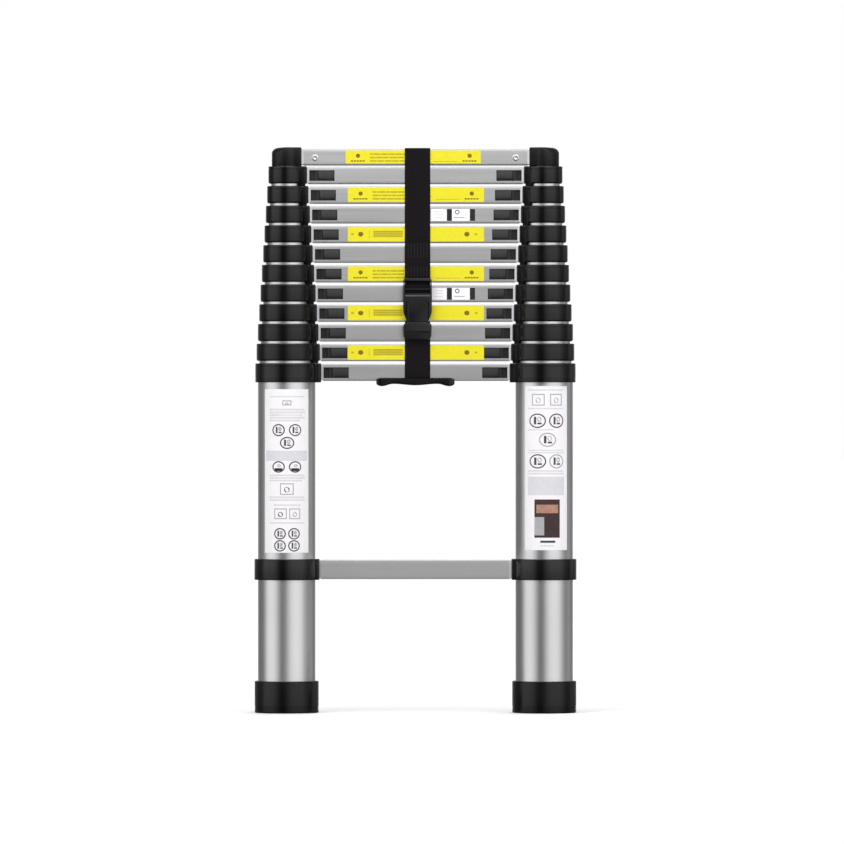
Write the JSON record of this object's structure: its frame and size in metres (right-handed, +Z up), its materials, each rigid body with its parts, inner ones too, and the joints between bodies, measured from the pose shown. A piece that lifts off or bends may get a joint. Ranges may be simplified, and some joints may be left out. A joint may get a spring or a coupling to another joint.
{
  "type": "telescoping ladder",
  "caption": "Folded telescoping ladder: nested round tubes with black collars, a stack of flat rungs with thumb slides, a fixed lower rung, rubber feet and a buckled carry strap.",
  "frame": {"origin": "on the floor, midway between the two feet", "axes": "+Z up along the stiles, +X to the right along the rungs, -Y towards the front, which has the thumb slides and the buckle"},
  "size_m": [0.494, 0.099, 0.8663],
  "materials": {
    "tube_aluminium": "drawn and clear anodised, fine lines along the tube",
    "rung_aluminium": "extruded and satin anodised, fine lines along the rung",
    "black_plastic": "moulded, semi-matt with fine texture",
    "foot_rubber": "moulded, matt",
    "webbing": "woven polypropylene webbing with a moulded side-release buckle"
  },
  "bodies": {
    "section_01": {"rung_01": "rung_aluminium", "stile_01_left": "tube_aluminium", "stile_01_right": "tube_aluminium", "lower_rung": "rung_aluminium", "foot_left": "foot_rubber", "foot_right": "foot_rubber"},
    "section_02": {"rung_02": "rung_aluminium", "stile_02_left": "tube_aluminium", "stile_02_right": "tube_aluminium"},
    "section_03": {"rung_03": "rung_aluminium", "stile_03_left": "tube_aluminium", "stile_03_right": "tube_aluminium"},
    "section_04": {"rung_04": "rung_aluminium", "stile_04_left": "tube_aluminium", "stile_04_right": "tube_aluminium"},
    "section_05": {"rung_05": "rung_aluminium", "stile_05_left": "tube_aluminium", "stile_05_right": "tube_aluminium"},
    "section_06": {"rung_06": "rung_aluminium", "stile_06_left": "tube_aluminium", "stile_06_right": "tube_aluminium"},
    "section_07": {"rung_07": "rung_aluminium", "stile_07_left": "tube_aluminium", "stile_07_right": "tube_aluminium"},
    "section_08": {"rung_08": "rung_aluminium", "stile_08_left": "tube_aluminium", "stile_08_right": "tube_aluminium"},
    "section_09": {"rung_09": "rung_aluminium", "stile_09_left": "tube_aluminium", "stile_09_right": "tube_aluminium"},
    "section_10": {"rung_10": "rung_aluminium", "stile_10_left": "tube_aluminium", "stile_10_right": "tube_aluminium"},
    "section_11": {"rung_11": "rung_aluminium", "stile_11_left": "tube_aluminium", "stile_11_right": "tube_aluminium"},
    "section_12": {"top_section": "rung_aluminium", "strap": "webbing"},
    "release_01_left": {"release_slide_01_left": "black_plastic"},
    "release_01_right": {"release_slide_01_right": "black_plastic"},
    "release_02_left": {"release_slide_02_left": "black_plastic"},
    "release_02_right": {"release_slide_02_right": "black_plastic"},
    "release_03_left": {"release_slide_03_left": "black_plastic"},
    "release_03_right": {"release_slide_03_right": "black_plastic"},
    "release_04_left": {"release_slide_04_left": "black_plastic"},
    "release_04_right": {"release_slide_04_right": "black_plastic"},
    "release_05_left": {"release_slide_05_left": "black_plastic"},
    "release_05_right": {"release_slide_05_right": "black_plastic"},
    "release_06_left": {"release_slide_06_left": "black_plastic"},
    "release_06_right": {"release_slide_06_right": "black_plastic"},
    "release_07_left": {"release_slide_07_left": "black_plastic"},
    "release_07_right": {"release_slide_07_right": "black_plastic"},
    "release_08_left": {"release_slide_08_left": "black_plastic"},
    "release_08_right": {"release_slide_08_right": "black_plastic"},
    "release_09_left": {"release_slide_09_left": "black_plastic"},
    "release_09_right": {"release_slide_09_right": "black_plastic"},
    "release_10_left": {"release_slide_10_left": "black_plastic"},
    "release_10_right": {"release_slide_10_right": "black_plastic"},
    "release_11_left": {"release_slide_11_left": "black_plastic"},
    "release_11_right": {"release_slide_11_right": "black_plastic"}
  },
  "joints": [
    {"name": "section_02_slide", "type": "slide", "parent": "section_01", "child": "section_02", "axis": [0, 0, 1], "range_m": [0, 0.2698]},
    {"name": "section_03_slide", "type": "slide", "parent": "section_02", "child": "section_03", "axis": [0, 0, 1], "range_m": [0, 0.2698]},
    {"name": "section_04_slide", "type": "slide", "parent": "section_03", "child": "section_04", "axis": [0, 0, 1], "range_m": [0, 0.2698]},
    {"name": "section_05_slide", "type": "slide", "parent": "section_04", "child": "section_05", "axis": [0, 0, 1], "range_m": [0, 0.2698]},
    {"name": "section_06_slide", "type": "slide", "parent": "section_05", "child": "section_06", "axis": [0, 0, 1], "range_m": [0, 0.2698]},
    {"name": "section_07_slide", "type": "slide", "parent": "section_06", "child": "section_07", "axis": [0, 0, 1], "range_m": [0, 0.2698]},
    {"name": "section_08_slide", "type": "slide", "parent": "section_07", "child": "section_08", "axis": [0, 0, 1], "range_m": [0, 0.2698]},
    {"name": "section_09_slide", "type": "slide", "parent": "section_08", "child": "section_09", "axis": [0, 0, 1], "range_m": [0, 0.2698]},
    {"name": "section_10_slide", "type": "slide", "parent": "section_09", "child": "section_10", "axis": [0, 0, 1], "range_m": [0, 0.2698]},
    {"name": "section_11_slide", "type": "slide", "parent": "section_10", "child": "section_11", "axis": [0, 0, 1], "range_m": [0, 0.2698]},
    {"name": "section_12_slide", "type": "slide", "parent": "section_11", "child": "section_12", "axis": [0, 0, 1], "range_m": [0, 0.2698], "deforming": ["strap"]},
    {"name": "release_01_left_slide", "type": "slide", "parent": "section_01", "child": "release_01_left", "axis": [-1, 0, 0], "range_m": [0, 0.01]},
    {"name": "release_01_right_slide", "type": "slide", "parent": "section_01", "child": "release_01_right", "axis": [1, 0, 0], "range_m": [0, 0.01]},
    {"name": "release_02_left_slide", "type": "slide", "parent": "section_02", "child": "release_02_left", "axis": [-1, 0, 0], "range_m": [0, 0.01]},
    {"name": "release_02_right_slide", "type": "slide", "parent": "section_02", "child": "release_02_right", "axis": [1, 0, 0], "range_m": [0, 0.01]},
    {"name": "release_03_left_slide", "type": "slide", "parent": "section_03", "child": "release_03_left", "axis": [-1, 0, 0], "range_m": [0, 0.01]},
    {"name": "release_03_right_slide", "type": "slide", "parent": "section_03", "child": "release_03_right", "axis": [1, 0, 0], "range_m": [0, 0.01]},
    {"name": "release_04_left_slide", "type": "slide", "parent": "section_04", "child": "release_04_left", "axis": [-1, 0, 0], "range_m": [0, 0.01]},
    {"name": "release_04_right_slide", "type": "slide", "parent": "section_04", "child": "release_04_right", "axis": [1, 0, 0], "range_m": [0, 0.01]},
    {"name": "release_05_left_slide", "type": "slide", "parent": "section_05", "child": "release_05_left", "axis": [-1, 0, 0], "range_m": [0, 0.01]},
    {"name": "release_05_right_slide", "type": "slide", "parent": "section_05", "child": "release_05_right", "axis": [1, 0, 0], "range_m": [0, 0.01]},
    {"name": "release_06_left_slide", "type": "slide", "parent": "section_06", "child": "release_06_left", "axis": [-1, 0, 0], "range_m": [0, 0.01]},
    {"name": "release_06_right_slide", "type": "slide", "parent": "section_06", "child": "release_06_right", "axis": [1, 0, 0], "range_m": [0, 0.01]},
    {"name": "release_07_left_slide", "type": "slide", "parent": "section_07", "child": "release_07_left", "axis": [-1, 0, 0], "range_m": [0, 0.01]},
    {"name": "release_07_right_slide", "type": "slide", "parent": "section_07", "child": "release_07_right", "axis": [1, 0, 0], "range_m": [0, 0.01]},
    {"name": "release_08_left_slide", "type": "slide", "parent": "section_08", "child": "release_08_left", "axis": [-1, 0, 0], "range_m": [0, 0.01]},
    {"name": "release_08_right_slide", "type": "slide", "parent": "section_08", "child": "release_08_right", "axis": [1, 0, 0], "range_m": [0, 0.01]},
    {"name": "release_09_left_slide", "type": "slide", "parent": "section_09", "child": "release_09_left", "axis": [-1, 0, 0], "range_m": [0, 0.01]},
    {"name": "release_09_right_slide", "type": "slide", "parent": "section_09", "child": "release_09_right", "axis": [1, 0, 0], "range_m": [0, 0.01]},
    {"name": "release_10_left_slide", "type": "slide", "parent": "section_10", "child": "release_10_left", "axis": [-1, 0, 0], "range_m": [0, 0.01]},
    {"name": "release_10_right_slide", "type": "slide", "parent": "section_10", "child": "release_10_right", "axis": [1, 0, 0], "range_m": [0, 0.01]},
    {"name": "release_11_left_slide", "type": "slide", "parent": "section_11", "child": "release_11_left", "axis": [-1, 0, 0], "range_m": [0, 0.01]},
    {"name": "release_11_right_slide", "type": "slide", "parent": "section_11", "child": "release_11_right", "axis": [1, 0, 0], "range_m": [0, 0.01]}
  ]
}
